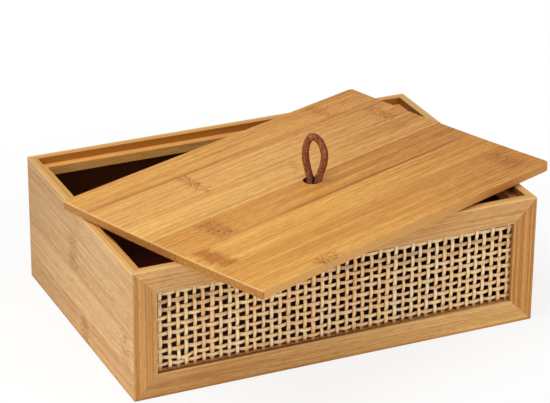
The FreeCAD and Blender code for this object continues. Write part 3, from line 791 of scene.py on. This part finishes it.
def make_cane_material():
    """Split cane: pale straw skin, each strand cream, pinkish, orange or greyish, fine lines along it.

    Where a strand dives behind another it is darkened with painted shade.
    Its split sides and the edges of its skin are browner, partly their own colour and partly painted
    shade, and it is darkened with painted shade where it meets the lower lip."""
    material, tree = new_material("split_cane")
    run = add(tree, "UVMap", uv_map="run")
    tint = add(tree, "Attribute", {}, "Fac", attribute_name="tint")
    drawn = add(tree, "VectorMath", {0: run, 1: (1 / 14.0, 3.1, 0)}, operation="MULTIPLY")
    patches = add(tree, "TexNoise", {"Vector": drawn, "Scale": 1.0, "Detail": 2.0})
    change = add(tree, "MapRange", {0: patches, 1: 0.3, 2: 0.7, 3: -0.36, 4: 0.36})
    place = add(tree, "Math", {0: tint, 1: change}, operation="ADD", use_clamp=True)
    colour = add(tree, "ValToRGB", {0: place}, stops=(
        (0.0, linear("#FDEECB")), (0.25, linear("#FADF99")), (0.5, linear("#F8D8B6")),
        (0.76, linear("#F1BE74")), (0.9, linear("#D3BA90")), (1.0, linear("#B8A682"))))
    drawn = add(tree, "VectorMath", {0: run, 1: (1 / 9.0, 24.0, 0)}, operation="MULTIPLY")
    lines = add(tree, "TexNoise", {"Vector": drawn, "Scale": 1.0, "Detail": 2.0, "Roughness": 0.6})
    shade = add(tree, "MapRange", {0: lines, 1: 0.45, 2: 0.75, 3: 0.0, 4: 0.9})
    colour = add(tree, "MixRGB", {0: shade, 1: colour, 2: linear("#D6BC94")}, blend_type="MULTIPLY")
    # Painted shade where a strand lies behind a crossing strand.
    lie = add(tree, "Attribute", {}, "Fac", attribute_name="lie")
    shade = add(tree, "MapRange", {0: lie, 1: -0.9, 2: 0.6, 3: 0.4, 4: 0.0})
    colour = add(tree, "MixRGB", {0: shade, 1: colour, 2: linear("#D9B792")}, blend_type="MULTIPLY")
    # Painted shade in the groove where the webbing meets the lower lip.
    metres = add(tree, "TexCoord", output="Object")
    height = add(tree, "SeparateXYZ", {0: metres}).node.outputs[2]
    painted_groove_shade = add(tree, "MapRange", {0: height, 1: 16.6 * MM, 2: 18.2 * MM, 3: 0.75, 4: 0.0})
    colour = add(tree, "MixRGB", {0: painted_groove_shade, 1: colour, 2: linear("#A87440")}, blend_type="MULTIPLY")
    # Browner split sides and skin edges: partly the cane's own colour, partly painted shade.
    number = add(tree, "SeparateXYZ", {0: run}).node.outputs[1]
    across = add(tree, "Math", {0: number}, operation="FRACT")
    across = add(tree, "Math", {0: across, 1: 0.5}, operation="SUBTRACT")
    across = add(tree, "Math", {0: across}, operation="ABSOLUTE")
    split_side_and_edge_shade = add(tree, "MapRange", {0: across, 1: 0.16, 2: 0.24})
    colour = add(tree, "MixRGB", {0: split_side_and_edge_shade, 1: colour, 2: linear("#EBC793")}, blend_type="MULTIPLY")
    bump = add(tree, "Bump", {"Strength": 0.3, "Distance": 0.06 * MM, "Height": lines})
    rough = add(tree, "MapRange", {0: lines, 1: 0.3, 2: 0.7, 3: 0.42, 4: 0.6})
    shader = add(tree, "BsdfPrincipled", {
        "Base Color": colour, "Roughness": rough, "IOR": 1.5, "Normal": bump})
    add(tree, "OutputMaterial", {"Surface": shader})
    return material


def make_leather():
    """Vegetable-tanned round leather cord: matt red-brown, mottled, with pores and painted shade on its
    sides.
    """
    material, tree = new_material("leather_cord")
    metres = add(tree, "TexCoord", output="Object")
    mottle = add(tree, "TexNoise", {
        "Vector": metres, "Scale": 1 / (1.5 * MM), "Detail": 3.0, "Roughness": 0.7})
    pores = add(tree, "TexVoronoi", {"Vector": metres, "Scale": 1 / (1.0 * MM)})
    colour = add(tree, "ValToRGB", {0: mottle}, stops=(
        (0.3, linear("#52210F")), (0.44, linear("#89482C")), (0.56, linear("#A25F3D")),
        (0.70, linear("#C18D71"))))
    shade = add(tree, "MapRange", {0: pores, 1: 0.05, 2: 0.45, 3: 0.75, 4: 0.0})
    colour = add(tree, "MixRGB", {0: shade, 1: colour, 2: linear("#4A1C08")})
    # Painted shade: the cord's sides in the loop's plane are darkened, where a round cord turns from the
    # light.
    side = add(tree, "Attribute", {}, "Fac", attribute_name="side")
    shade = add(tree, "MapRange", {0: side, 1: 0.3, 2: 0.95, 3: 0.0, 4: 0.62})
    colour = add(tree, "MixRGB", {0: shade, 1: colour, 2: linear("#43190B")})
    height = add(tree, "Math", {0: pores, 1: mottle}, operation="ADD")
    bump = add(tree, "Bump", {"Strength": 0.5, "Distance": 0.12 * MM, "Height": height})
    rough = add(tree, "MapRange", {0: mottle, 1: 0.3, 2: 0.7, 3: 0.72, 4: 0.58})
    shader = add(tree, "BsdfPrincipled", {
        "Base Color": colour, "Roughness": rough, "IOR": 1.45, "Specular IOR Level": 0.3, "Normal": bump})
    add(tree, "OutputMaterial", {"Surface": shader})
    return material


def make_steel():
    """Bright steel pins: drawn wire, faintly streaked, cut ends a little dull."""
    material, tree = new_material("drawn_steel_pin")
    metres = add(tree, "TexCoord", output="Object")
    scratches = add(tree, "TexNoise", {"Vector": metres, "Scale": 1 / (0.3 * MM), "Detail": 2.0})
    colour = add(tree, "ValToRGB", {0: scratches}, stops=(
        (0.35, linear("#9A9A98")), (0.65, linear("#C4C4C2"))))
    rough = add(tree, "MapRange", {0: scratches, 1: 0.3, 2: 0.7, 3: 0.28, 4: 0.45})
    shader = add(tree, "BsdfPrincipled", {"Base Color": colour, "Metallic": 1.0, "Roughness": rough})
    add(tree, "OutputMaterial", {"Surface": shader})
    return material


cane_material = make_cane_material()
leather = make_leather()
steel = make_steel()
finishes = {
    "left_wall": left_bamboo, "right_wall": right_bamboo, "back_wall": back_bamboo,
    "front_top_rail": top_rail_bamboo, "front_bottom_rail": bottom_rail_bamboo,
    "front_left_stile": stile_bamboo, "front_right_stile": stile_bamboo,
    "bottom_panel": painted_shade_bottom, "bottom_pins": steel, "bead_pins": steel, "lid_panel": lid_bamboo,
    "cane_bead_top": bead_bamboo_across, "cane_bead_bottom": bead_bamboo_across,
    "cane_bead_left": bead_bamboo_upright, "cane_bead_right": bead_bamboo_upright,
    "lid_rest_front": bead_bamboo_across, "lid_rest_back": bead_bamboo_across,
    "lid_rest_left": bead_bamboo_deep, "lid_rest_right": bead_bamboo_deep,
    "cane_webbing": cane_material, "pull_loop": leather, "pull_knot": leather,
}
for node_name, finish in finishes.items():
    slots = nodes[node_name].material_slots
    if not slots:
        nodes[node_name].data.materials.append(finish)
    for slot in slots:
        slot.material = finish
for piece in cane_pieces:
    piece.data.materials.append(cane_material)
for piece in (leather_loop, leather_knot):
    piece.data.materials.append(leather)

# Studio: a white floor that runs out to a white background, a soft sky and large lamps

FLOOR_HALF = 3.0
# The floor is this white close to the box, within the first reach, and all white beyond the second
LEAST_WHITE = 0.82
SHADED_REACH = 0.16
PLAIN_REACH = 0.34
SKY_STRENGTH = 0.35
# Lamps as (name, place, size, watts), all facing the box
LAMPS = (
    ("upper_lamp", (-0.35, 0.0, 1.15), 0.8, 6.9),
    ("left_lamp", (-0.58, -0.33, 0.38), 0.5, 1.45),
    ("right_lamp", (0.55, -0.70, 0.36), 0.6, 2.1),
)


def seen_directly(tree):
    """1 for what the camera sees, straight or in a reflection or through glass, else 0."""
    path = add(tree, "LightPath").node.outputs
    seen = add(tree, "Math", {0: path["Is Camera Ray"], 1: path["Is Glossy Ray"]}, operation="MAXIMUM")
    return add(tree, "Math", {0: seen, 1: path["Is Transmission Ray"]}, operation="MAXIMUM")


def make_floor():
    """A square of paper: near the box its shading shows, further out it is plain white.

    From below it is see-through."""
    corners = np.array([(-1, -1, 0), (1, -1, 0), (1, 1, 0), (-1, 1, 0)]) * FLOOR_HALF
    floor = mesh_piece("floor", corners, [np.array([[0, 1, 2, 3]])])
    material, tree = new_material("white_paper_floor")
    metres = add(tree, "TexCoord", output="Object")
    away = add(tree, "VectorMath", {0: metres}, "Value", operation="LENGTH")
    plain = add(tree, "MapRange", {0: away, 1: SHADED_REACH, 2: PLAIN_REACH, 3: LEAST_WHITE, 4: 1.0},
                interpolation_type="SMOOTHSTEP")
    plain = add(tree, "Math", {0: plain, 1: seen_directly(tree)}, operation="MULTIPLY")
    paper = add(tree, "BsdfDiffuse", {"Color": linear("#FAFAF9")})
    glow = add(tree, "Emission", {"Color": WHITE, "Strength": 1.0})
    shader = add(tree, "MixShader", {0: plain, 1: paper, 2: glow})
    under = add(tree, "NewGeometry", output="Backfacing")
    shader = add(tree, "MixShader", {0: under, 1: shader, 2: add(tree, "BsdfTransparent")})
    add(tree, "OutputMaterial", {"Surface": shader})
    floor.data.materials.append(material)


def make_sky():
    """An even white sky: full white where it is seen, softer as light."""
    world = bpy.data.worlds.new("studio")
    world.use_nodes = True
    tree = world.node_tree
    tree.nodes.clear()
    strength = add(tree, "MapRange", {0: seen_directly(tree), 3: SKY_STRENGTH, 4: 1.0})
    sky = add(tree, "Background", {"Color": WHITE, "Strength": strength})
    add(tree, "OutputWorld", {"Surface": sky})
    scene.world = world


def make_lamps():
    """Square area lamps, each turned so that its back points away from the box."""
    for name, place, size, watts in LAMPS:
        lamp = bpy.data.lights.new(name, "AREA")
        lamp.size = size
        lamp.energy = watts
        back = np.array(place) / np.linalg.norm(place)
        side = np.cross([0, 0, 1], back)
        side /= np.linalg.norm(side)
        turned = np.eye(4)
        turned[:3] = np.column_stack([side, np.cross(back, side), back, place])
        holder = bpy.data.objects.new(name, lamp)
        holder.matrix_world = Matrix(turned.tolist())
        holder.visible_camera = False
        scene.collection.objects.link(holder)


make_floor()
make_sky()
make_lamps()
scene.view_settings.view_transform = "Standard"
